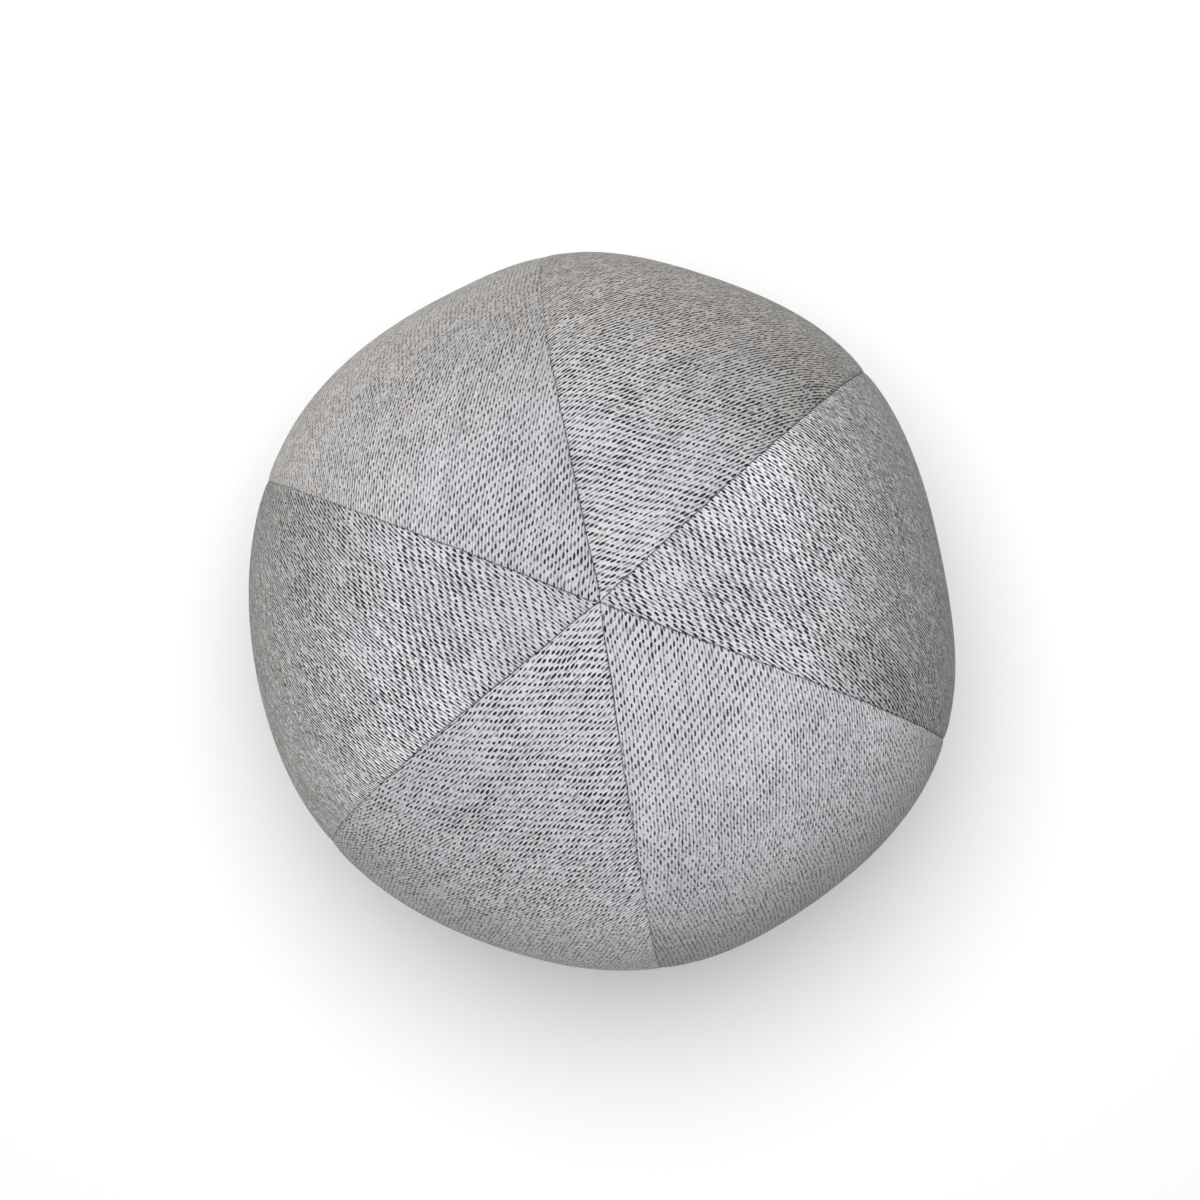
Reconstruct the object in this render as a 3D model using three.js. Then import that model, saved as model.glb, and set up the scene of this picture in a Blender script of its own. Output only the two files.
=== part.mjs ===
import * as THREE from 'three';

// A ball pillow sewn from six gores. It lies on the small flat spot that its own weight presses,
// and the seams run from the pole on top down to the pole that the flat spot hides.
// Millimetres, +Z up. The origin is on the floor, under the middle of the bounding box.

// Upright sizes of the ball as it lies.
const HEIGHT = 284;
const WAIST_HEIGHT = 139;
const CROWN_RISE = HEIGHT - WAIST_HEIGHT;
// How far the underside would reach below the waist if nothing pressed it flat.
const UNDERSIDE_DROP = 143;
// Exponent of the side profile: 2 is an ellipse, and more is fuller at the shoulders.
const FULLNESS = 2.3;

// The seams, each with the gore that follows it counter-clockwise. Bearings are in degrees
// counter-clockwise from +X, and lengths are in millimetres.
// at: the seam's bearing at the waist. bow: how far it strays clockwise halfway up the crown.
// crestAt, crest: bearing and radius where the waist stands out most, near the seam.
// flatAt, flat: bearing and radius where it stands out least, on the gore.
const SEAMS = [
  { at: 41.9, bow: -1.6, crestAt: 48, crest: 150.6, flatAt: 71, flat: 148.3 },
  { at: 98.6, bow: -4.9, crestAt: 96, crest: 151.9, flatAt: 117, flat: 148.5 },
  { at: 158.9, bow: -0.5, crestAt: 150, crest: 151.9, flatAt: 192, flat: 147.9 },
  { at: 221.2, bow: 3.8, crestAt: 222, crest: 149.6, flatAt: 249, flat: 147.9 },
  { at: 279.7, bow: 2.4, crestAt: 285, crest: 152.7, flatAt: 303, flat: 151.5 },
  { at: 339.2, bow: -1.0, crestAt: 334, crest: 154.8, flatAt: 372, flat: 144.7 },
];
const TURN = 360;

// The stitches draw the cloth in along a seam, less and less towards the flat spot.
const SEAM_DEPTH = 0.6;
const SEAM_REACH = 3.5;
const SEAM_FADE_HEIGHT = 30;
const GORE_GAP = 0.3;

// The mesh: rings from the pole to the floor, and points across half a gore as shares of its
// width, closer together near the seam.
const RINGS = 38;
const HALF_ACROSS = [0, 0.008, 0.018, 0.05, 0.1, 0.18, 0.28, 0.39];
const ACROSS = [...HALF_ACROSS, 0.5, ...HALF_ACROSS.map((share) => 1 - share).reverse()];

const CLOTH_TONES = [0xa3a1a3, 0xadabad, 0xa09fa1, 0xa6a5a8, 0xaeadb0, 0x9e9d9f];
const CLOTH_ROUGHNESS = 0.95;

const { degToRad, euclideanModulo, lerp, radToDeg, smoothstep } = THREE.MathUtils;

function waistExtremes() {
  const around = SEAMS.flatMap(({ crestAt, crest, flatAt, flat }) => [
    { at: crestAt, radius: crest },
    { at: flatAt, radius: flat },
  ]);
  return [...around, { at: around[0].at + TURN, radius: around[0].radius }];
}

const WAIST_EXTREMES = waistExtremes();

function waistRadius(bearing) {
  const first = WAIST_EXTREMES[0].at;
  const turned = first + euclideanModulo(bearing - first, TURN);
  const next = WAIST_EXTREMES.findIndex((extreme) => extreme.at > turned);
  const before = WAIST_EXTREMES[next - 1];
  const after = WAIST_EXTREMES[next];
  const share = (turned - before.at) / (after.at - before.at);
  return lerp(before.radius, after.radius, (1 - Math.cos(Math.PI * share)) / 2);
}

// The side profile at an angle from the top pole: reach is the share of the waist's radius.
function profile(angle) {
  const power = 2 / FULLNESS;
  const rise = Math.abs(Math.cos(angle)) ** power;
  const upright = angle < Math.PI / 2 ? CROWN_RISE * rise : -UNDERSIDE_DROP * rise;
  return { reach: Math.sin(angle) ** power, height: WAIST_HEIGHT + upright };
}

function floorAngle() {
  return Math.PI - Math.acos((WAIST_HEIGHT / UNDERSIDE_DROP) ** (FULLNESS / 2));
}

function seamBearing(seam, angle) {
  const radius = waistRadius(seam.at) * profile(angle).reach;
  const stray = (seam.bow * Math.sin(2 * angle)) / radius;
  return seam.at - radToDeg(stray);
}

// How far the cloth is drawn in, at a distance along the surface from the nearest seam.
function drawnIn(distance, height) {
  const closeness = Math.max(0, 1 - distance / SEAM_REACH);
  return SEAM_DEPTH * closeness ** 2 * smoothstep(height, 0, SEAM_FADE_HEIGHT);
}

function nextSeam(index) {
  const seam = SEAMS[(index + 1) % SEAMS.length];
  return seam.at > SEAMS[index].at ? seam : { ...seam, at: seam.at + TURN };
}

function skinPoint(index, share, angle) {
  const { reach, height } = profile(angle);
  const from = seamBearing(SEAMS[index], angle);
  const to = seamBearing(nextSeam(index), angle);
  const bearing = lerp(from, to, share);
  const radius = waistRadius(bearing) * reach;
  const turn = degToRad(bearing);
  const point = new THREE.Vector3(radius * Math.cos(turn), radius * Math.sin(turn), height);
  const distance = Math.min(share, 1 - share) * radius * degToRad(to - from);
  const centre = new THREE.Vector3(0, 0, WAIST_HEIGHT);
  return point.lerp(centre, drawnIn(distance, height) / point.distanceTo(centre));
}

// The gore's skin from seam to seam at each level below the pole. The last level is on the floor.
function goreLevels(index) {
  const lowest = floorAngle();
  const levels = Array.from({ length: RINGS }, (_, ring) => {
    const angle = (lowest * (ring + 1)) / RINGS;
    return ACROSS.map((share) => skinPoint(index, share, angle));
  });
  levels.at(-1).forEach((point) => point.setZ(0));
  return levels;
}

// The skin is joined to the axis by two walls that fan out from the middle of the ball, so the
// walls of neighbouring gores match.
function goreTriangles() {
  const [pole, centre, foot, skin] = [0, 1, 2, 3];
  const count = ACROSS.length;
  const at = (ring, column) => skin + ring * count + column;
  const last = RINGS - 1;
  const triangles = [];
  for (let column = 0; column + 1 < count; column += 1) {
    triangles.push(pole, at(0, column), at(0, column + 1));
    triangles.push(foot, at(last, column + 1), at(last, column));
  }
  for (let ring = 0; ring < last; ring += 1) {
    for (let column = 0; column + 1 < count; column += 1) {
      triangles.push(at(ring, column), at(ring + 1, column), at(ring + 1, column + 1));
      triangles.push(at(ring, column), at(ring + 1, column + 1), at(ring, column + 1));
    }
  }
  for (let ring = -1; ring <= last; ring += 1) {
    for (const column of [0, count - 1]) {
      const upper = ring < 0 ? pole : at(ring, column);
      const lower = ring < last ? at(ring + 1, column) : foot;
      triangles.push(centre, ...(column === 0 ? [lower, upper] : [upper, lower]));
    }
  }
  return triangles;
}

function goreGeometry(index) {
  const pole = new THREE.Vector3(0, 0, HEIGHT - SEAM_DEPTH);
  const centre = new THREE.Vector3(0, 0, WAIST_HEIGHT);
  const foot = new THREE.Vector3(0, 0, 0);
  const geometry = new THREE.BufferGeometry();
  geometry.setFromPoints([pole, centre, foot, ...goreLevels(index).flat()]);
  geometry.setIndex(goreTriangles());
  geometry.computeVertexNormals();
  return geometry;
}

// Each gore is moved out along its middle, which opens the same gap along every seam.
function gore(index) {
  const material = new THREE.MeshStandardMaterial({
    color: CLOTH_TONES[index],
    roughness: CLOTH_ROUGHNESS,
    metalness: 0,
  });
  const mesh = new THREE.Mesh(goreGeometry(index), material);
  mesh.name = `gore_${index + 1}`;
  const middle = degToRad((SEAMS[index].at + nextSeam(index).at) / 2);
  const halfTurn = Math.PI / SEAMS.length;
  const shift = GORE_GAP / 2 / Math.sin(halfTurn);
  mesh.position.set(shift * Math.cos(middle), shift * Math.sin(middle), 0);
  return mesh;
}

function ballPillow() {
  const pillow = new THREE.Group();
  SEAMS.forEach((_, index) => pillow.add(gore(index)));
  pillow.updateMatrixWorld(true);
  const middle = new THREE.Box3().setFromObject(pillow, true).getCenter(new THREE.Vector3());
  pillow.position.set(-middle.x, -middle.y, 0);
  return pillow;
}

export default ballPillow();
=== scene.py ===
import math

import bpy
import numpy as np
from mathutils import Matrix, Vector


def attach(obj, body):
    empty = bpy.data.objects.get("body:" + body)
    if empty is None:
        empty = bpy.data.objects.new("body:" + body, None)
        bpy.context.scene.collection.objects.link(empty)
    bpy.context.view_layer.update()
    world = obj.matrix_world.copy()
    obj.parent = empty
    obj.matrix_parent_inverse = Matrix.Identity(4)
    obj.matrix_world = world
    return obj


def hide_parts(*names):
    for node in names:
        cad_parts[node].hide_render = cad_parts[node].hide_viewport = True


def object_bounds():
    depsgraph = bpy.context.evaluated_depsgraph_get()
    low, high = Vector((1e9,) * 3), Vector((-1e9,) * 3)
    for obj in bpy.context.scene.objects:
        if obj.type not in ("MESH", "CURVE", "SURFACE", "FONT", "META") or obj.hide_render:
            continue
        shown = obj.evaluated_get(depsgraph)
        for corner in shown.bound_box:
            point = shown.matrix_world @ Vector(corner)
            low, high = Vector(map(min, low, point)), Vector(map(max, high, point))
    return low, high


# A ball pillow of six cloth gores, seen from above its pole. Metres and +Z up. Bearings are in
# degrees counter-clockwise from +X, and angles from the pole on top are in radians.

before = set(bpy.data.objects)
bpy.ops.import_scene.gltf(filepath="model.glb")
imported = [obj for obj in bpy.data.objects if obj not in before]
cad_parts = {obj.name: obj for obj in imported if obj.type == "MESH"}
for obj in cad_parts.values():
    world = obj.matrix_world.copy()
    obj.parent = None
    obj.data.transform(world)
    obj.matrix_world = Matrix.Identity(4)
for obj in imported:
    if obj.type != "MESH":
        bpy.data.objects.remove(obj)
cad_low, cad_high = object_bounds()

MM = 0.001
TURN = 360

# The ball's upright sizes and its side profile, where 2 is an ellipse and more is fuller.
WAIST_HEIGHT = 139 * MM
CROWN_RISE = cad_high.z - WAIST_HEIGHT
UNDERSIDE_DROP = 143 * MM
FULLNESS = 2.3
FLOOR_SOFTNESS = 1.2 * MM
MEAN_RADIUS = 150 * MM
MERIDIAN_POINTS = 4001

# The seams, each with the gore that follows it counter-clockwise. Lengths are in millimetres.
# at: bearing at the waist. bow: clockwise stray halfway up. start: clockwise stray at the pole.
# crest_at, crest and flat_at, flat: bearings and radii of the waist's bulge and flatter stretch.
# tight: how much closer the seam is pressed shut away from the pole.
SEAMS = (
    {"at": 41.9, "bow": -1.6, "start": -0.5, "crest_at": 48, "crest": 150.6,
     "flat_at": 71, "flat": 148.3, "tight": 0.0},
    {"at": 98.6, "bow": -4.9, "start": 0.4, "crest_at": 96, "crest": 151.9,
     "flat_at": 117, "flat": 148.5, "tight": 1.0},
    {"at": 158.9, "bow": -0.5, "start": -1.1, "crest_at": 150, "crest": 151.9,
     "flat_at": 192, "flat": 147.9, "tight": 0.9},
    {"at": 221.2, "bow": 3.8, "start": 0.7, "crest_at": 222, "crest": 149.6,
     "flat_at": 249, "flat": 147.9, "tight": 0.6},
    {"at": 279.7, "bow": 2.4, "start": 0.3, "crest_at": 285, "crest": 152.7,
     "flat_at": 303, "flat": 151.5, "tight": 0.8},
    {"at": 339.2, "bow": -1.0, "start": 0.3, "crest_at": 334, "crest": 154.8,
     "flat_at": 372, "flat": 144.7, "tight": 0.2},
)
START_REACH = 30 * MM
POLE_REACH = 4 * MM

# The gores' cloth, in the order of the seams.
# grain: bearing of the yarns near the pole. stretch: how much coarser the weave is.
# tones (painted light and shade): how pale the yarns are, from the pole out to the waist. Out
# towards the waist they paint the gores on the +X side darker and those on the -X side paler, as the
# light falls, and the gores' differences stand in for how each one's yarn direction takes the light.
# tilt: how much paler they get towards the gore's next seam, and darker towards its first one.
# floats: how big the dark floats are at the pole and away from it.
# slants: how much the floats slant to the yarns at the pole and away from it.
# warm: how beige the gore turns away from the pole.
GORES = (
    {"grain": 31, "stretch": 0.98, "painted_light_tones": (0.97, 0.94, 0.77, 0.84), "tilt": 0.14,
     "floats": (1.0, 1.1), "slants": (-0.07, 0.17), "warm": 1.4},
    {"grain": 86, "stretch": 1.0, "painted_light_tones": (0.87, 0.92, 0.87, 1.05), "tilt": 0.12,
     "floats": (1.0, 0.93), "slants": (-0.12, 0.26), "warm": 1.0},
    {"grain": 143, "stretch": 0.99, "painted_light_tones": (0.91, 1.17, 1.03, 1.0), "tilt": 0.2,
     "floats": (1.08, 1.12), "slants": (-0.1, 0.02), "warm": 0.8},
    {"grain": 43, "stretch": 1.0, "painted_light_tones": (0.98, 0.97, 1.12, 1.08), "tilt": 0.06,
     "floats": (1.0, 1.02), "slants": (0.04, 0.25), "warm": 0.4},
    {"grain": 99, "stretch": 1.0, "painted_light_tones": (0.94, 1.02, 1.05, 0.69), "tilt": 0.0,
     "floats": (1.0, 0.94), "slants": (-0.16, 0.31), "warm": 0.25},
    {"grain": 149, "stretch": 1.0, "painted_light_tones": (1.0, 1.24, 0.8, 0.68), "tilt": 0.13,
     "floats": (1.08, 1.15), "slants": (-0.15, 0.0), "warm": 0.6},
)
UNDERSIDE_TONE = 0.88

# Where those values hold or set in, as shares of the way from the top pole to the bottom one.
PAINTED_LIGHT_PLACES = (0.08, 0.17, 0.27, 0.4, 0.52)
TILT_PLACES = (0.06, 0.26)
FLOAT_PLACES = (0.03, 0.15)
SLANT_PLACES = (0, 0.3)
WARM_PLACES = (0.1, 0.42)
LOOSE_PLACES = (0.08, 0.42)

# The sewn edges: the cloth is drawn in over a few millimetres and then rolls into the seam.
SEAM_GAP = 0.1 * MM
WIDEST_GAP = 0.25
DRAWN_DEPTH = 0.5 * MM
DRAWN_REACH = 3.5 * MM
DRAWN_FADE = 30 * MM
ROLL_RADIUS = 0.4 * MM
FOLD_DEPTHS = (0.6 * MM, 2.2 * MM)

# How far a tight seam shuts and between which shares of the meridian, and how much of the drawn-in
# depth a shut seam keeps.
MOST_SHUT = 0.85
SHUT_PLACES = (0.1, 0.28)
DRAWN_WHEN_SHUT = 0.4

# The stitches pucker the cloth beside a seam and make the seam itself waver.
PUCKER_DEPTH = 0.2 * MM
PUCKER_REACH = 3.5 * MM
PUCKER_PITCH = 3.4 * MM
PUCKER_SEED = 27
WAVER = 0.22 * MM
WAVER_PITCH = 5 * MM
WAVER_SEED = 7

# The cloth's grid: rows follow each other from pole to pole, and columns from seam to seam.
ROWS = 216
HALF_COLUMNS = 24
FIRST_STEP = 0.2 * MM

# The bake map: the skin's two halves side by side, with the hidden walls in thin strips between.
CHART_WIDTH = 345 * MM
CHART_MARGIN = 0.01
HALF_MIDDLES = (0.25, 0.75)
WALL_STRIPS = ((0.492, 0.499), (0.508, 0.501))

# The grid that the simulation swells.
SWELL_ROWS = 120
SWELL_HALF_COLUMNS = 9
SWELL_FIRST_STEP = 2.5 * MM
SWELL_INSET = 1.5 * MM
SWELL_STIR = 0.15 * MM
STIR_SEED = 7

# The simulation: pressure inside, seams that gather, and cloth held fast close to the floor.
SWELL_FRAMES = 20
SWELL_QUALITY = 5
SWELL_PRESSURE = 4
SWELL_MASS = 0.01
SEAM_GATHER = 0.02
HELD_HEIGHTS = (1 * MM, 4 * MM)

# What is kept of the swelling: half of its small folds and little of its broad form, fading
# out at the pole on top and at the floor.
SWELL_CAP = 4 * MM
FOLD_SHARE = 0.5
BROAD_SHARE = 0.15
BROAD_CAP = 0.5 * MM
BROAD_PASSES = 10
GORE_PASSES = 2
SWELL_LENGTHS = (3 * MM, 15 * MM)
SWELL_HEIGHTS = (3 * MM, 25 * MM)


# Form


def eased(share):
    return (1 - np.cos(np.pi * share)) / 2


def smooth_step(value, low, high):
    share = np.clip((value - low) / (high - low), 0, 1)
    return share * share * (3 - 2 * share)


def waist_extremes():
    around = []
    for seam in SEAMS:
        around.append((seam["crest_at"], seam["crest"] * MM))
        around.append((seam["flat_at"], seam["flat"] * MM))
    around.append((around[0][0] + TURN, around[0][1]))
    return np.array(around).T


WAIST_AT, WAIST_RADII = waist_extremes()


def waist_radius(bearing):
    turned = WAIST_AT[0] + (bearing - WAIST_AT[0]) % TURN
    after = np.clip(np.searchsorted(WAIST_AT, turned, side="right"), 1, len(WAIST_AT) - 1)
    before = after - 1
    share = (turned - WAIST_AT[before]) / (WAIST_AT[after] - WAIST_AT[before])
    return WAIST_RADII[before] + (WAIST_RADII[after] - WAIST_RADII[before]) * eased(share)


def side_profile(angle):
    """Share of the waist's radius, and height, at angles from the pole on top."""
    power = 2 / FULLNESS
    rise = np.abs(np.cos(angle)) ** power
    upper = WAIST_HEIGHT + CROWN_RISE * rise
    lower = WAIST_HEIGHT - UNDERSIDE_DROP * rise
    height = np.where(angle < np.pi / 2, upper, lower)
    pressed = (height + np.sqrt(height**2 + FLOOR_SOFTNESS**2)) / 2
    return np.sin(angle) ** power, pressed


def meridian():
    """Angles from pole to pole and the length of cloth down to each."""
    angle = np.linspace(0, np.pi, MERIDIAN_POINTS)
    reach, height = side_profile(angle)
    steps = np.hypot(np.diff(reach * MEAN_RADIUS), np.diff(height))
    return angle, np.concatenate([[0], np.cumsum(steps)])


MERIDIAN_ANGLES, MERIDIAN_LENGTHS = meridian()
MERIDIAN = MERIDIAN_LENGTHS[-1]


def row_lengths(rows):
    """Lengths down the meridian of the rows between the two poles."""
    return np.linspace(0, MERIDIAN, rows + 1)[1:-1]


def form_point(bearing, down):
    """Points of the smooth ball at bearings and lengths down the meridian."""
    angle = np.interp(down, MERIDIAN_LENGTHS, MERIDIAN_ANGLES)
    reach, height = side_profile(angle)
    radius = waist_radius(bearing) * reach
    turn = np.radians(bearing)
    return np.stack([radius * np.cos(turn), radius * np.sin(turn), height + 0 * radius], -1)


def form_normal(bearing, down):
    """Outward directions of the smooth ball."""
    nudge, turn_nudge = 0.5 * MM, 0.2
    sideways = form_point(bearing + turn_nudge, down) - form_point(bearing - turn_nudge, down)
    downwards = form_point(bearing, down + nudge) - form_point(bearing, down - nudge)
    normal = np.cross(downwards, sideways)
    return normal / np.linalg.norm(normal, axis=-1, keepdims=True)


# Seams


def wavering(length, pitch, seed):
    """Smooth random numbers of about -1 to 1 along a length, one knot to each pitch."""
    knots = np.random.RandomState(seed).uniform(-1, 1, int(MERIDIAN / pitch) + 3)
    place = length / pitch
    before = np.clip(np.floor(place).astype(int), 0, len(knots) - 2)
    share = np.clip(place - before, 0, 1)
    return knots[before] + (knots[before + 1] - knots[before]) * eased(share)


def seam_at(number):
    """A seam's bearing at the waist. Numbers past the last seam go round again."""
    return SEAMS[number % len(SEAMS)]["at"] + TURN * (number // len(SEAMS))


def seam_bearing(number, down):
    seam = SEAMS[number % len(SEAMS)]
    angle = np.interp(down, MERIDIAN_LENGTHS, MERIDIAN_ANGLES)
    radius = waist_radius(seam["at"]) * side_profile(angle)[0]
    stray = seam["bow"] * MM * np.sin(2 * angle)
    stray = stray + seam["start"] * MM * np.exp(-down / START_REACH)
    stray = stray + WAVER * wavering(down, WAVER_PITCH, WAVER_SEED + number % len(SEAMS))
    return seam_at(number) - np.degrees(stray / np.maximum(radius, POLE_REACH))


def column_shares(width, half_columns, first_step):
    """Shares of a row's width, close together at both seams. One row of shares to each width."""
    even = np.linspace(0, 1, half_columns + 1)
    slope = np.minimum(1, first_step * half_columns / (width / 2))[:, None]
    half = (slope * even + (1 - slope) * even**3) / 2
    return np.concatenate([half, 1 - half[:, -2::-1]], 1)


def row_width(number, down):
    """A gore's width in metres and in degrees, from seam to seam."""
    turn = seam_bearing(number + 1, down) - seam_bearing(number, down)
    angle = np.interp(down, MERIDIAN_LENGTHS, MERIDIAN_ANGLES)
    middle = seam_bearing(number, down) + turn / 2
    return waist_radius(middle) * side_profile(angle)[0] * np.radians(turn), turn


def openness(number, down):
    """How open a seam is: 1 near the pole, and less where it is pressed shut."""
    tight = SEAMS[number % len(SEAMS)]["tight"]
    return 1 - MOST_SHUT * tight * smooth_step(down / MERIDIAN, *SHUT_PLACES)


def drawn_in(distance, height, opened):
    """How far the stitches draw the cloth in beside a seam."""
    closeness = np.maximum(0, 1 - distance / DRAWN_REACH)
    depth = DRAWN_DEPTH * closeness**2 * smooth_step(height, 0, DRAWN_FADE)
    return depth * (DRAWN_WHEN_SHUT + (1 - DRAWN_WHEN_SHUT) * opened)


def rolled(distance, opened):
    """How far the cloth has rolled down towards the seam."""
    radius = ROLL_RADIUS * opened
    short = np.clip(radius - (distance - SEAM_GAP / 2 * opened), 0, radius)
    return radius - np.sqrt(radius**2 - short**2)


def puckered(number, down, share, width):
    """How far the stitches lift or lower the cloth beside the gore's two seams."""
    following = (number + 1) % len(SEAMS)
    first = PUCKER_DEPTH * wavering(down, PUCKER_PITCH, PUCKER_SEED + number)
    second = PUCKER_DEPTH * wavering(down, PUCKER_PITCH, PUCKER_SEED + following)
    return (first[:, None] * np.exp(-share * width[:, None] / PUCKER_REACH)
            + second[:, None] * np.exp(-(1 - share) * width[:, None] / PUCKER_REACH))


# Swelling, by cloth simulation


def swell_grid():
    """Bearings and lengths down the meridian of the swelling's points, row by row."""
    down = row_lengths(SWELL_ROWS)
    bearings = []
    for number in range(len(SEAMS)):
        width, turn = row_width(number, down)
        shares = column_shares(width, SWELL_HALF_COLUMNS, SWELL_FIRST_STEP)[:, :-1]
        bearings.append(seam_bearing(number, down)[:, None] + shares * turn[:, None])
    bearing = np.concatenate(bearings, 1)
    return bearing, np.broadcast_to(down[:, None], bearing.shape)


def swell_mesh(points):
    """The whole ball as one closed mesh, with its two poles last."""
    rows, columns, _ = points.shape
    top, bottom = rows * columns, rows * columns + 1
    last = (rows - 1) * columns
    faces = []
    for row in range(rows - 1):
        for column in range(columns):
            beside = (column + 1) % columns
            upper, lower = row * columns, (row + 1) * columns
            faces.append((upper + column, lower + column, lower + beside, upper + beside))
    for column in range(columns):
        beside = (column + 1) % columns
        faces.append((top, column, beside))
        faces.append((bottom, last + beside, last + column))
    poles = [points[0].mean(0), points[-1].mean(0)]
    mesh = bpy.data.meshes.new("swelling")
    mesh.from_pydata([*points.reshape(-1, 3).tolist(), *[p.tolist() for p in poles]], [], faces)
    return mesh


def weight_group(ball, name, weights):
    group = ball.vertex_groups.new(name=name)
    for vertex, weight in enumerate(weights):
        if weight > 0:
            group.add([vertex], float(weight), "REPLACE")
    return name


def add_cloth(ball, gathered, held):
    """Adds the simulation. Each weight has a value for every point and for the two poles."""
    cloth = ball.modifiers.new("cloth", "CLOTH")
    settings = cloth.settings
    settings.quality = SWELL_QUALITY
    settings.mass = SWELL_MASS
    settings.use_pressure = True
    settings.uniform_pressure_force = SWELL_PRESSURE
    settings.shrink_max = SEAM_GATHER
    settings.vertex_group_shrink = weight_group(ball, "gathered", [*gathered.ravel(), 1, 1])
    settings.vertex_group_mass = weight_group(ball, "held", [*held.ravel(), 0, 1])
    settings.effector_weights.gravity = 0
    cloth.point_cache.frame_end = SWELL_FRAMES


def simulated(ball):
    """Runs the simulation, takes the ball away and gives the places of its points."""
    for step in range(1, SWELL_FRAMES + 1):
        bpy.context.scene.frame_set(step)
    evaluated = ball.evaluated_get(bpy.context.evaluated_depsgraph_get())
    places = np.empty(len(evaluated.data.vertices) * 3)
    evaluated.data.vertices.foreach_get("co", places)
    bpy.data.objects.remove(ball)
    bpy.context.scene.frame_set(1)
    return places.reshape(-1, 3)


def swollen():
    """How far each point of the swell grid moves outwards."""
    bearing, down = swell_grid()
    normal = form_normal(bearing, down)
    stir = np.random.RandomState(STIR_SEED).uniform(-SWELL_STIR, SWELL_STIR, bearing.shape)
    start = form_point(bearing, down) + (stir - SWELL_INSET)[..., None] * normal
    ball = bpy.data.objects.new("swelling", swell_mesh(start))
    bpy.context.scene.collection.objects.link(ball)
    gathered = np.zeros(bearing.shape)
    gathered[:, ::2 * SWELL_HALF_COLUMNS] = 1
    add_cloth(ball, gathered, 1 - smooth_step(start[..., 2], *HELD_HEIGHTS))
    moved = simulated(ball)[:-2].reshape(start.shape) - start
    return np.clip((moved * normal).sum(-1), -SWELL_CAP, SWELL_CAP)


def smoothed(values, passes):
    """Evens out a grid's values from row to row."""
    for _ in range(passes):
        tall = np.pad(values, ((1, 1), (0, 0)), mode="edge")
        values = (tall[:-2] + 2 * values + tall[2:]) / 4
    return values


def settled(swell):
    """The swell's small folds, with its broad form held close to the measured ball."""
    broad = smoothed(swell, BROAD_PASSES)
    lift = np.clip(BROAD_SHARE * (broad - broad.mean()), -BROAD_CAP, BROAD_CAP)
    return FOLD_SHARE * (swell - broad) + lift


def gore_swell(number, swell, down, width, share):
    """The swell at the points of a gore's grid."""
    columns = 2 * SWELL_HALF_COLUMNS
    own = np.take(swell, range(number * columns, (number + 1) * columns + 1), 1, mode="wrap")
    lengths = row_lengths(SWELL_ROWS)
    rows = np.stack([np.interp(down, lengths, column) for column in own.T], 1)
    shares = column_shares(width, SWELL_HALF_COLUMNS, SWELL_FIRST_STEP)
    between = np.stack([np.interp(*row) for row in zip(share, shares, rows)])
    return smoothed(between, GORE_PASSES)


def swell_reach(depth, height):
    """How much of the swell shows: none at the pole on top or on the floor."""
    return smooth_step(depth, *SWELL_LENGTHS) * smooth_step(height, *SWELL_HEIGHTS)


# Gores


def gore_middle(number):
    """Bearing of a gore's middle at the waist."""
    return (seam_at(number) + seam_at(number + 1)) / 2


def flat_cloth(number, bearing, down):
    """Where points of a gore lie on its flat cut: across from its middle line and down it."""
    turn = np.radians(bearing - gore_middle(number))
    polar = down / MERIDIAN * np.pi
    radius = MERIDIAN / np.pi
    across = radius * np.arcsin(np.sin(polar) * np.sin(turn))
    return across, radius * np.arctan2(np.sin(polar) * np.cos(turn), np.cos(polar))


def gore_columns(number, down, width):
    """Shares of each row's width, clear of both seams, and how open the nearer seam is."""
    opened = np.stack([openness(number, down), openness(number + 1, down)])[..., None]
    gaps = np.minimum(SEAM_GAP / 2 * opened / width[:, None], WIDEST_GAP)
    share = column_shares(width, HALF_COLUMNS, FIRST_STEP)
    share = gaps[0] + share * (1 - gaps[0] - gaps[1])
    return share, np.where(share < 0.5, *opened)


def gore_grid(number, swell):
    """A gore's skin: its points, outward directions, seam distances and flat cloth."""
    down = row_lengths(ROWS)
    width, turn = row_width(number, down)
    share, opened = gore_columns(number, down, width)
    bearing = seam_bearing(number, down)[:, None] + share * turn[:, None]
    depth = np.broadcast_to(down[:, None], bearing.shape)
    point, normal = form_point(bearing, depth), form_normal(bearing, depth)
    distance = np.minimum(share, 1 - share) * width[:, None]
    sunk = drawn_in(distance, point[..., 2], opened) + rolled(distance, opened)
    sunk = sunk - puckered(number, down, share, width)
    if swell is not None:
        lifted = gore_swell(number, swell, down, width, share)
        sunk = sunk - lifted * swell_reach(depth, point[..., 2])
    across, along = flat_cloth(number, bearing, depth)
    return point - sunk[..., None] * normal, normal, distance, across, along


def with_folds(point, normal, distance, across, along):
    """Adds the columns that go down into the seam at both sides of a gore."""
    for fold in FOLD_DEPTHS:
        left = point[:, :1] - fold * normal[:, :1]
        right = point[:, -1:] - fold * normal[:, -1:]
        point = np.concatenate([left, point, right], 1)
        normal = np.concatenate([normal[:, :1], normal, normal[:, -1:]], 1)
        distance = np.concatenate([distance[:, :1] - fold, distance, distance[:, -1:] - fold], 1)
        across = np.concatenate([across[:, :1] - fold, across, across[:, -1:] + fold], 1)
        along = np.concatenate([along[:, :1], along, along[:, -1:]], 1)
    return point, distance, across, along


def all_points(number, point):
    """The skin's points row by row, the two poles, and a point on the axis beside each row."""
    middle = math.radians(gore_middle(number))
    shift = SEAM_GAP * np.array([math.cos(middle), math.sin(middle), 0])
    pole = point[0].mean(0) * [0, 0, 1] + shift
    foot = point[-1].mean(0) * [0, 0, 1] + shift
    axis = np.linspace(pole, foot, len(point) + 2)[1:-1]
    return np.concatenate([point.reshape(-1, 3), [pole, foot], axis])


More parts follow.
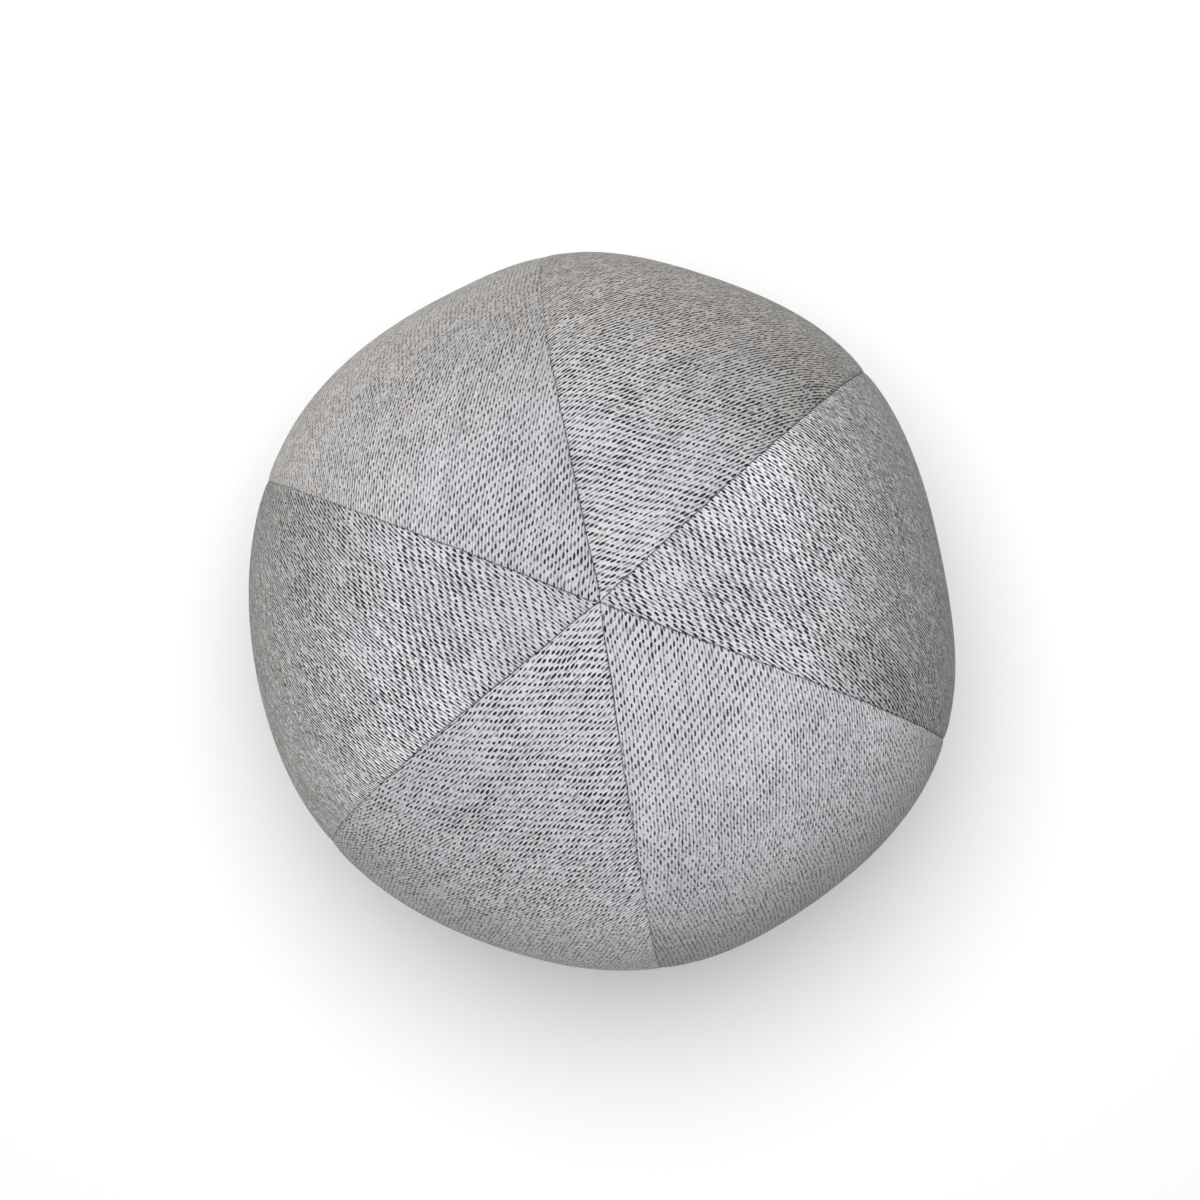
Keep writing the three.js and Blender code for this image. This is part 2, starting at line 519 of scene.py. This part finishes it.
def gore_faces(rows, columns):
    """The skin's faces in two halves, and two walls from the seams to the ball's axis."""
    pole, foot, axis = rows * columns, rows * columns + 1, rows * columns + 2
    last = (rows - 1) * columns
    halves = ([], [])
    for column in range(columns - 1):
        halves[0].append((pole, column, column + 1))
        halves[1].append((foot, last + column + 1, last + column))
        for row in range(rows - 1):
            upper, lower = row * columns + column, (row + 1) * columns + column
            halves[row >= rows // 2].append((upper, lower, lower + 1, upper + 1))
    walls = []
    for side in (0, columns - 1):
        wall = [(pole, axis, side), (axis + rows - 1, foot, last + side)]
        for row in range(rows - 1):
            upper, lower = row * columns + side, (row + 1) * columns + side
            wall.append((axis + row, axis + row + 1, lower, upper))
        walls.append([face[::-1] for face in wall] if side else wall)
    return [*halves, *walls]


def bake_charts(across, along):
    """Where each vertex lies on the bake map, in each of the four charts that gore_faces makes."""
    rows, columns = across.shape
    across = np.concatenate([across.ravel(), np.zeros(rows + 2)])
    along = np.concatenate([along.ravel(), [0, MERIDIAN], np.zeros(rows)])
    charts = []
    for middle, start in zip(HALF_MIDDLES, (0, MERIDIAN / 2)):
        charts.append([middle + across / CHART_WIDTH, (along - start) / (MERIDIAN / 2)])
    level = np.arange(1, rows + 1) / (rows + 1)
    down = np.concatenate([np.repeat(level, columns), [0, 1], level])
    inner = np.concatenate([np.zeros(rows * columns), [0.5, 0.5], np.ones(rows)])
    for outer_edge, inner_edge in WALL_STRIPS:
        charts.append([outer_edge + (inner_edge - outer_edge) * inner, down])
    charts = np.array(charts)
    charts[:, 1] = 1 - CHART_MARGIN - (1 - 2 * CHART_MARGIN) * charts[:, 1]
    return charts


def add_bake_map(mesh, parts, across, along):
    corners = []
    for chart, part in zip(bake_charts(across, along), parts):
        corners.append(chart[:, [vertex for face in part for vertex in face]].T)
    mesh.uv_layers.new(name="OFBake").uv.foreach_set("vector", np.concatenate(corners).ravel())


# What the material reads at each point


def weave_values(number, across, along):
    """Millimetres along the yarns and across them, and the gore's number."""
    stretch = GORES[number]["stretch"]
    beta = math.radians(GORES[number]["grain"]) - math.radians(gore_middle(number))
    return np.stack([
        along * math.cos(beta) + across * math.sin(beta),
        across * math.cos(beta) - along * math.sin(beta),
        np.full(along.shape, number * stretch * MM),
    ], -1) / stretch / MM


def shown_values(number, across, distance):
    """How pale the yarns are, which paints light and shade on the gores, how big the floats are, and
    millimetres from the nearest seam.
    """
    gore = GORES[number]
    place = row_lengths(ROWS)[:, None] / MERIDIAN
    side = across / np.abs(across).max(1, keepdims=True)
    # The tone paints light and shade: out towards the waist the gores on the +X side are darker,
    # those on the -X side paler.
    tone = np.interp(place, PAINTED_LIGHT_PLACES, [*gore["painted_light_tones"], UNDERSIDE_TONE])
    tone = tone * (1 + gore["tilt"] * smooth_step(place, *TILT_PLACES) * side)
    bold = np.interp(place, FLOAT_PLACES, gore["floats"])
    return np.stack([tone, bold + 0 * distance, distance / MM], -1)


def loose_values(number, columns):
    """How loose the cloth is, how much the floats slant, and how beige the yarns are."""
    gore = GORES[number]
    place = row_lengths(ROWS) / MERIDIAN
    loose = smooth_step(place, *LOOSE_PLACES)
    slant = np.interp(place, SLANT_PLACES, gore["slants"])
    warm = gore["warm"] * smooth_step(place, *WARM_PLACES)
    return np.repeat(np.stack([loose, slant, warm], -1)[:, None], columns, 1)


def add_values(mesh, name, values):
    """Keeps a vector for each vertex. A pole takes the mean of the row beside it."""
    ends = [values[:1].mean(1), values[-1:].mean(1), np.zeros((len(values), 3))]
    flat = np.concatenate([values.reshape(-1, 3), *ends])
    mesh.attributes.new(name, "FLOAT_VECTOR", "POINT").data.foreach_set("vector", flat.ravel())


def gore_mesh(number, swell):
    point, distance, across, along = with_folds(*gore_grid(number, swell))
    rows, columns, _ = point.shape
    parts = gore_faces(rows, columns)
    faces = [face for part in parts for face in part]
    mesh = bpy.data.meshes.new(f"gore_cloth_{number + 1}")
    mesh.from_pydata(all_points(number, point).tolist(), [], faces)
    mesh.shade_smooth()
    add_bake_map(mesh, parts, across, along)
    add_values(mesh, "weave", weave_values(number, across, along))
    add_values(mesh, "shown", shown_values(number, across, distance))
    add_values(mesh, "loose", loose_values(number, columns))
    return mesh


def gore_cloth(number, swell, material):
    name = f"gore_cloth_{number + 1}"
    piece = bpy.data.objects.new(name, gore_mesh(number, swell))
    bpy.context.scene.collection.objects.link(piece)
    piece.data.materials.append(material)
    finer = piece.modifiers.new("finer", "SUBSURF")
    finer.levels = finer.render_levels = 1
    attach(piece, "root")
    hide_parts(f"gore_{number + 1}")


# Cloth material

# The sockets of a mix node that take its two colours and give their mix.
FIRST_COLOUR = 6
SECOND_COLOUR = 7
MIXED_COLOUR = 2


class Nodes:
    """Short calls that add nodes to a material."""

    def __init__(self, name):
        self.material = bpy.data.materials.new(name)
        self.material.use_nodes = True
        self.tree = self.material.node_tree
        self.shader = self.tree.nodes["Principled BSDF"]

    def node(self, kind, **settings):
        made = self.tree.nodes.new("ShaderNode" + kind)
        for key, value in settings.items():
            setattr(made, key, value)
        return made

    def put(self, value, socket):
        if isinstance(value, bpy.types.NodeSocket):
            self.tree.links.new(value, socket)
        else:
            socket.default_value = value

    def math(self, operation, *values):
        made = self.node("Math", operation=operation)
        for value, socket in zip(values, made.inputs):
            self.put(value, socket)
        return made.outputs[0]

    def add(self, *values):
        return self.math("ADD", *values)

    def times(self, *values):
        return self.math("MULTIPLY", *values)

    def centred(self, value, width=1.0):
        """A value between 0 and 1, moved to lie evenly about 0 and spread over a width."""
        return self.times(self.add(value, -0.5), width)

    def ramp(self, value, low, high, to_low=0.0, to_high=1.0):
        """Goes smoothly from to_low to to_high while the value goes from low to high."""
        made = self.node("MapRange", interpolation_type="SMOOTHSTEP")
        for number, socket in zip((value, low, high, to_low, to_high), made.inputs):
            self.put(number, socket)
        return made.outputs[0]

    def vector(self, x, y, z):
        made = self.node("CombineXYZ")
        for value, socket in zip((x, y, z), made.inputs):
            self.put(value, socket)
        return made.outputs[0]

    def noise(self, x, y, z, detail):
        made = self.node("TexNoise")
        self.put(self.vector(x, y, z), made.inputs["Vector"])
        made.inputs["Scale"].default_value = 1.0
        made.inputs["Detail"].default_value = detail
        return made.outputs["Fac"]

    def parts(self, vector):
        made = self.node("SeparateXYZ")
        self.put(vector, made.inputs[0])
        return made.outputs

    def random(self, x, y, z):
        """Three random numbers for each place, from 0 to 1."""
        made = self.node("TexWhiteNoise", noise_dimensions="3D")
        self.put(self.vector(x, y, z), made.inputs["Vector"])
        return self.parts(made.outputs["Color"])

    def attribute(self, name):
        return self.parts(self.node("Attribute", attribute_name=name).outputs["Vector"])

    def mix(self, share, first, second):
        made = self.node("Mix", data_type="RGBA")
        self.put(share, made.inputs["Factor"])
        self.put(first, made.inputs[FIRST_COLOUR])
        self.put(second, made.inputs[SECOND_COLOUR])
        return made.outputs[MIXED_COLOUR]


# The weave, in millimetres: pale yarns side by side, with dark floats in the grooves between
# them, each row of floats a third of a repeat further along than the last.
YARN_PITCH = 1.27
REPEAT = 4.37
FLOAT_LENGTH = 2.1
FLOAT_WIDTH = 0.86

# Base colours. The yarns are cool around the pole and beige further out.
YARN_COLOUR = (0.456, 0.451, 0.48, 1)
OUTER_YARN_COLOUR = (0.472, 0.452, 0.417, 1)
FLOAT_COLOUR = (0.018, 0.017, 0.019, 1)
FLECK_COLOUR = (0.35, 0.3, 0.25, 1)

# How far the yarns sway sideways and the repeat slips along them, in millimetres.
SWAY = 2.2
SLIP = 2.6

# Noises: how fine they are along the yarns, how fine across them, their layer and their detail.
# The layers keep them apart, and so do the gores' own numbers, GORE_STEP apart.
GORE_STEP = 17.3
SWAY_NOISE = (0.06, 0.06, 0.0, 1.0)
SLIP_NOISE = (0.11, 0.11, 3.1, 1.0)
PATCH_NOISE = (0.05, 0.05, 9.0, 3.0)
FIBRE_NOISE = (1.3, 6.5, 5.0, 2.0)
FUZZ_NOISE = (1.5, 1.5, 7.0, 2.0)
TINT_NOISE = (0.07, 0.07, 31.0, 2.0)
STREAK_LENGTH_FINENESS = 0.22
STREAK_GROOVE_STEP = 5.7
STREAK_LAYER = 21.0
STREAK_DETAIL = 2.0
OWN_LAYER = 0.5
STRAY_LAYER = 1.7

# Ramps: two values of what drives them, and what they give there. Most are driven by looseness,
# from 0 around the pole to 1 at the waist, or by boldness, which is the floats' size.
LOOSE = (0.0, 1.0)

# The floats' sizes, in millimetres or as shares of their usual size.
BOLDNESS_BY_PATCH = (0.3, 0.7, 0.85, 1.15)
LENGTH_BY_CHANCE = (0.0, 1.0, 0.7 * FLOAT_LENGTH, 1.3 * FLOAT_LENGTH)
LENGTH_BY_BOLDNESS = (0.85, 1.15, 0.58, 1.1)
WIDTH_BY_BOLDNESS = (0.9, 1.15, 1.0, 0.75)

# How far a row of floats and each float in it stray, in millimetres, and how slants vary.
ROW_STRAY = (0.0, 1.0, 0.35, 1.0)
STRAY_ALONG = (0.0, 1.0, 0.5, 1.5)
STRAY_ASIDE = (0.2, 1.0, 0.24, 0.5)
STRAY_SLANT = (0.5, 1.0, 0.15, 1.0)

# How dark the floats are, at their edges and from one float to the next.
FLOAT_EDGE = (0.65, 1.25, 1.0, 0.0)
FAINT_SHARE = 0.6
FAINTEST_BY_LOOSENESS = (0.0, 0.8, 0.75, 0.05)
STRENGTH_BY_BOLDNESS = (0.85, 1.0, 0.7, 1.0)
STRENGTH_BY_LOOSENESS = (0.2, 1.0, 1.0, 0.82)

# The dark lines lie in the grooves, or obliquely across them where the floats slant most.
GROOVE_LINE = (0.02, 0.24, 1.0, 0.0)
OBLIQUE_LINE = (0.03, 0.26, 0.8, 0.0)
OBLIQUE_SLANTS = (0.12, 0.36)
OBLIQUE_WANDER = 0.5
OBLIQUE_START = 2 / 3 - 0.25
LINE_BY_BOLDNESS = (0.9, 1.25, 0.8, 1.4)
LINE_BY_STREAK = (0.4, 0.62, 0.1, 1.2)
LINE_AT_POLE = 0.7
LINE_LOOSENESS = (0.0, 0.5)
AWAY_LINE_BY_BOLDNESS = (1.0, 1.15, 1.2, 1.7)

# How much the yarns' paleness varies with the fibres, from yarn to yarn and with the fuzz, and how
# it falls beside a seam, over millimetres.
FIBRE_CONTRAST = 1.0
YARN_CONTRAST = 0.12
FUZZ_CONTRAST = (0.0, 1.0, 0.4, 2.4)
SEAM_SHADE = (0.0, 1.2, 0.9, 1.0)

# Where the brown flecks and the beige patches are.
FLECKS = (0.955, 0.97)
FLECK_PATCHES = (0.35, 0.6, 0.0, 0.5)
BEIGE_PATCHES = (0.35, 0.6, 0.6, 1.2)

# The shader: roughness of pale and dark cloth, a faint sheen, and the relief in millimetres.
ROUGHNESS = (0.0, 1.0, 0.82, 0.95)
SPECULAR = 0.15
SHEEN = 0.1
SHEEN_ROUGHNESS = 0.35
GROOVE_DEPTH = 0.11
FLOAT_DEPTH = 0.12
FIBRE_HEIGHT = 0.05


class Weave(Nodes):
    """A material that knows where each of its points lies in the weave."""

    def __init__(self, name):
        super().__init__(name)
        self.yarn, self.across, gore = self.attribute("weave")
        self.tone, self.bold, self.seam = self.attribute("shown")
        self.loose, self.lean, self.warm = self.attribute("loose")
        self.gore = self.times(self.math("ROUND", gore), GORE_STEP)
        self.across = self.add(self.across, self.centred(self.cloth_noise(*SWAY_NOISE), SWAY))
        self.yarn = self.add(self.yarn, self.centred(self.cloth_noise(*SLIP_NOISE), SLIP))
        self.groove, self.off_groove = self.counted(self.across, YARN_PITCH)
        self.own = self.random(self.groove, self.gore, OWN_LAYER)
        self.repeat, self.off_repeat = self.counted(self.row_place(), REPEAT)
        self.each = self.random(self.groove, self.repeat, self.gore)
        self.patch = self.cloth_noise(*PATCH_NOISE)
        self.fibre = self.cloth_noise(*FIBRE_NOISE)
        self.fuzz = self.cloth_noise(*FUZZ_NOISE)

    def cloth_noise(self, along, across, layer, detail):
        yarn, side = self.times(self.yarn, along), self.times(self.across, across)
        return self.noise(yarn, side, self.add(self.gore, layer), detail)

    def counted(self, place, pitch):
        """The number of the pitch that a place is in, and how far off its middle it is."""
        pitches = self.times(place, 1 / pitch)
        return self.math("FLOOR", pitches), self.add(self.math("FRACT", pitches), -0.5)

    def row_place(self):
        """Millimetres along a groove's own row of floats."""
        place = self.add(self.yarn, self.times(self.groove, REPEAT / 3))
        return self.add(place, self.times(self.own[0], self.ramp(self.loose, *ROW_STRAY)))

    def driven(self, near, away):
        """A value near the pole that changes to another one where the cloth is loose."""
        return self.ramp(self.loose, *LOOSE, near, away)


def float_sizes(n):
    """Length and width of the float in each place."""
    boldness = n.times(n.bold, n.ramp(n.patch, *BOLDNESS_BY_PATCH))
    length = n.times(boldness, n.ramp(n.each[0], *LENGTH_BY_CHANCE))
    length = n.times(length, n.driven(1.0, n.ramp(n.bold, *LENGTH_BY_BOLDNESS)))
    return length, n.times(boldness, n.driven(1.0, n.ramp(n.bold, *WIDTH_BY_BOLDNESS)))


def float_mask(n):
    """The dark floats: ellipses that stray and slant more where the cloth is loose."""
    stray = n.random(n.groove, n.repeat, n.add(n.gore, STRAY_LAYER))
    away, aside = n.times(n.off_repeat, REPEAT), n.times(n.off_groove, YARN_PITCH)
    away = n.add(away, n.times(n.centred(stray[0]), n.ramp(n.loose, *STRAY_ALONG)))
    aside = n.add(aside, n.times(n.centred(stray[1]), n.ramp(n.loose, *STRAY_ASIDE)))
    slant = n.add(n.lean, n.times(n.centred(stray[2]), n.ramp(n.loose, *STRAY_SLANT)))
    length, width = float_sizes(n)
    far = n.math("DIVIDE", n.times(n.add(away, n.times(aside, slant)), 2.0), length)
    wide = n.times(n.math("SUBTRACT", aside, n.times(away, slant)), 2 / FLOAT_WIDTH)
    wide = n.math("DIVIDE", wide, width)
    round_off = n.add(n.times(far, far), n.times(wide, wide))
    return n.times(n.ramp(round_off, *FLOAT_EDGE), float_strength(n))


def float_strength(n):
    """How dark each float is."""
    strength = n.ramp(n.each[1], 0.0, FAINT_SHARE, n.ramp(n.loose, *FAINTEST_BY_LOOSENESS), 1.0)
    strength = n.times(strength, n.ramp(n.bold, *STRENGTH_BY_BOLDNESS))
    return n.times(strength, n.ramp(n.loose, *STRENGTH_BY_LOOSENESS))


def oblique_lines(n):
    """Lines that join each float to the ones a third of a repeat further along."""
    place = n.add(n.times(n.across, 2 / 3 / YARN_PITCH), n.times(n.yarn, -1 / REPEAT))
    place = n.add(place, n.times(n.fuzz, OBLIQUE_WANDER))
    off_line = n.add(n.math("FRACT", n.add(place, OBLIQUE_START)), -0.5)
    return n.ramp(n.math("ABSOLUTE", off_line), *OBLIQUE_LINE)


def line_mask(n):
    """The fine dark lines between the yarns, stronger in some streaks than in others."""
    line = n.ramp(n.math("ABSOLUTE", n.off_groove), *GROOVE_LINE)
    turned = n.ramp(n.lean, *OBLIQUE_SLANTS)
    line = n.times(line, n.math("SUBTRACT", 1.0, turned))
    line = n.add(line, n.times(oblique_lines(n), turned))
    yarn, groove = n.times(n.yarn, STREAK_LENGTH_FINENESS), n.times(n.groove, STREAK_GROOVE_STEP)
    streak = n.noise(yarn, groove, n.add(n.gore, STREAK_LAYER), STREAK_DETAIL)
    strength = n.times(n.ramp(n.bold, *LINE_BY_BOLDNESS), n.ramp(streak, *LINE_BY_STREAK))
    line = n.times(line, strength)
    strength = n.ramp(n.loose, *LINE_LOOSENESS, LINE_AT_POLE, n.ramp(n.bold, *AWAY_LINE_BY_BOLDNESS))
    return n.times(line, strength)


def yarn_paleness(n):
    """How pale the yarns are, with the gores' painted light and shade, their fibres, their fuzz and
    the painted shade beside a seam.
    """
    paleness = n.add(n.centred(n.fibre, FIBRE_CONTRAST), n.centred(n.own[1], YARN_CONTRAST))
    paleness = n.add(paleness, n.times(n.centred(n.fuzz), n.ramp(n.loose, *FUZZ_CONTRAST)))
    # Scaling by the tone paints each gore's light and shade onto its yarns.
    paleness = n.times(n.tone, n.add(1.0, paleness))
    return n.times(paleness, n.ramp(n.seam, *SEAM_SHADE))


def yarn_colour(n):
    """The pale yarns, beige in patches away from the pole, with a few brown flecks."""
    beige = n.times(n.warm, n.ramp(n.cloth_noise(*TINT_NOISE), *BEIGE_PATCHES))
    fleck = n.times(n.ramp(n.each[2], *FLECKS), n.ramp(n.patch, *FLECK_PATCHES))
    colour = n.node("HueSaturation")
    base = n.mix(beige, YARN_COLOUR, OUTER_YARN_COLOUR)
    n.put(n.mix(fleck, base, FLECK_COLOUR), colour.inputs["Color"])
    n.put(yarn_paleness(n), colour.inputs["Value"])
    return colour.outputs[0]


def add_relief(n, floats):
    """The grooves, the sunk floats and the fibres, as the shader's bump."""
    ridge = n.math("COSINE", n.times(n.off_groove, 2 * math.pi))
    height = n.add(n.times(ridge, -GROOVE_DEPTH), n.times(floats, -FLOAT_DEPTH))
    height = n.add(height, n.times(n.add(n.fibre, n.fuzz), FIBRE_HEIGHT))
    bump = n.node("Bump")
    bump.inputs["Strength"].default_value = 1.0
    bump.inputs["Distance"].default_value = MM
    n.put(height, bump.inputs["Height"])
    n.put(bump.outputs[0], n.shader.inputs["Normal"])


def woven_cloth():
    n = Weave("woven_cloth")
    floats = float_mask(n)
    dark = n.math("MAXIMUM", floats, line_mask(n))
    n.put(n.mix(dark, yarn_colour(n), FLOAT_COLOUR), n.shader.inputs["Base Color"])
    n.put(n.ramp(dark, *ROUGHNESS), n.shader.inputs["Roughness"])
    n.shader.inputs["Specular IOR Level"].default_value = SPECULAR
    n.shader.inputs["Sheen Weight"].default_value = SHEEN
    n.shader.inputs["Sheen Roughness"].default_value = SHEEN_ROUGHNESS
    add_relief(n, floats)
    return n.material


# Camera, floor and light

# The camera looks down at the pole. Its tilts are in degrees, and the offset of the ball in the
# frame is in pixels of the photo.
PHOTO_SIDE = 1200
LENS_PIXELS = 2449
SENSOR = 36
CAMERA_DISTANCE = 1.05
CAMERA_RANGE = (0.01, 50)
TILT_X = 0.3
TILT_Y = -1.45
FRAME_OFFSET = (2, 12)

FLOOR_HALF = 30
FLOOR_DROP = 0.3 * MM
FLOOR_COLOUR = (0.905, 0.905, 0.91, 1)
FLOOR_ROUGHNESS = 0.9

# One broad light above the ball, its bearing and elevation in degrees, in a pale world that is a
# little warmer on the far side of the ball than on the near side.
LIGHT_BEARING = 102
LIGHT_ELEVATION = 82
LIGHT_DISTANCE = 1.15
LIGHT_WIDTH = 0.8
LIGHT_WATTS = 15.2
SKY_STRENGTH = 0.43
NEAR_SKY = (0.93, 0.96, 1.0, 1)
FAR_SKY = (1.0, 0.975, 0.93, 1)
SKY_BLEND = 0.7


def camera():
    data = bpy.data.cameras.new("camera")
    data.sensor_width = SENSOR
    data.lens = SENSOR * LENS_PIXELS / PHOTO_SIDE
    data.clip_start, data.clip_end = CAMERA_RANGE
    made = bpy.data.objects.new("camera", data)
    bpy.context.scene.collection.objects.link(made)
    middle = Vector((0, 0, WAIST_HEIGHT))
    lean = Vector((math.tan(math.radians(TILT_X)), math.tan(math.radians(TILT_Y)), 1))
    place = middle + lean.normalized() * CAMERA_DISTANCE
    metres = CAMERA_DISTANCE / LENS_PIXELS
    aim = middle + Vector((-FRAME_OFFSET[0] * metres, FRAME_OFFSET[1] * metres, 0))
    back = (place - aim).normalized()
    up = back.cross(Vector((1, 0, 0))).normalized()
    side = up.cross(back)
    made.matrix_world = Matrix.Translation(place) @ Matrix((side, up, back)).transposed().to_4x4()
    bpy.context.scene.camera = made


def floor():
    mesh = bpy.data.meshes.new("floor")
    half = FLOOR_HALF
    corners = [(-half, -half, 0), (half, -half, 0), (half, half, 0), (-half, half, 0)]
    mesh.from_pydata(corners, [], [(0, 1, 2, 3)])
    made = bpy.data.objects.new("floor", mesh)
    made.location.z = -FLOOR_DROP
    bpy.context.scene.collection.objects.link(made)
    n = Nodes("floor")
    n.shader.inputs["Base Color"].default_value = FLOOR_COLOUR
    n.shader.inputs["Roughness"].default_value = FLOOR_ROUGHNESS
    n.shader.inputs["Specular IOR Level"].default_value = 0
    mesh.materials.append(n.material)


def overhead_light():
    data = bpy.data.lights.new("overhead", "AREA")
    data.shape = "DISK"
    data.size = LIGHT_WIDTH
    data.energy = LIGHT_WATTS
    made = bpy.data.objects.new("overhead", data)
    bpy.context.scene.collection.objects.link(made)
    turn, rise = math.radians(LIGHT_BEARING), math.radians(LIGHT_ELEVATION)
    level = math.cos(rise)
    away = Vector((math.cos(turn) * level, math.sin(turn) * level, math.sin(rise)))
    made.location = Vector((0, 0, WAIST_HEIGHT)) + away * LIGHT_DISTANCE
    made.rotation_euler = away.to_track_quat("Z", "Y").to_euler()


def sky():
    world = bpy.data.worlds.new("world")
    world.use_nodes = True
    tree = world.node_tree
    back = tree.nodes["Background"]
    back.inputs["Strength"].default_value = SKY_STRENGTH
    place = tree.nodes.new("ShaderNodeTexCoord")
    parts = tree.nodes.new("ShaderNodeSeparateXYZ")
    share = tree.nodes.new("ShaderNodeMapRange")
    share.inputs["From Min"].default_value = -SKY_BLEND
    share.inputs["From Max"].default_value = SKY_BLEND
    blend = tree.nodes.new("ShaderNodeMix")
    blend.data_type = "RGBA"
    blend.inputs[FIRST_COLOUR].default_value = NEAR_SKY
    blend.inputs[SECOND_COLOUR].default_value = FAR_SKY
    tree.links.new(place.outputs["Generated"], parts.inputs[0])
    tree.links.new(parts.outputs["Y"], share.inputs["Value"])
    tree.links.new(share.outputs[0], blend.inputs["Factor"])
    tree.links.new(blend.outputs[MIXED_COLOUR], back.inputs["Color"])
    bpy.context.scene.world = world


camera()
cloth = woven_cloth()
swell = settled(swollen())
for number in range(len(SEAMS)):
    gore_cloth(number, swell, cloth)
floor()
sky()
overhead_light()
bpy.context.scene.view_settings.view_transform = "Standard"
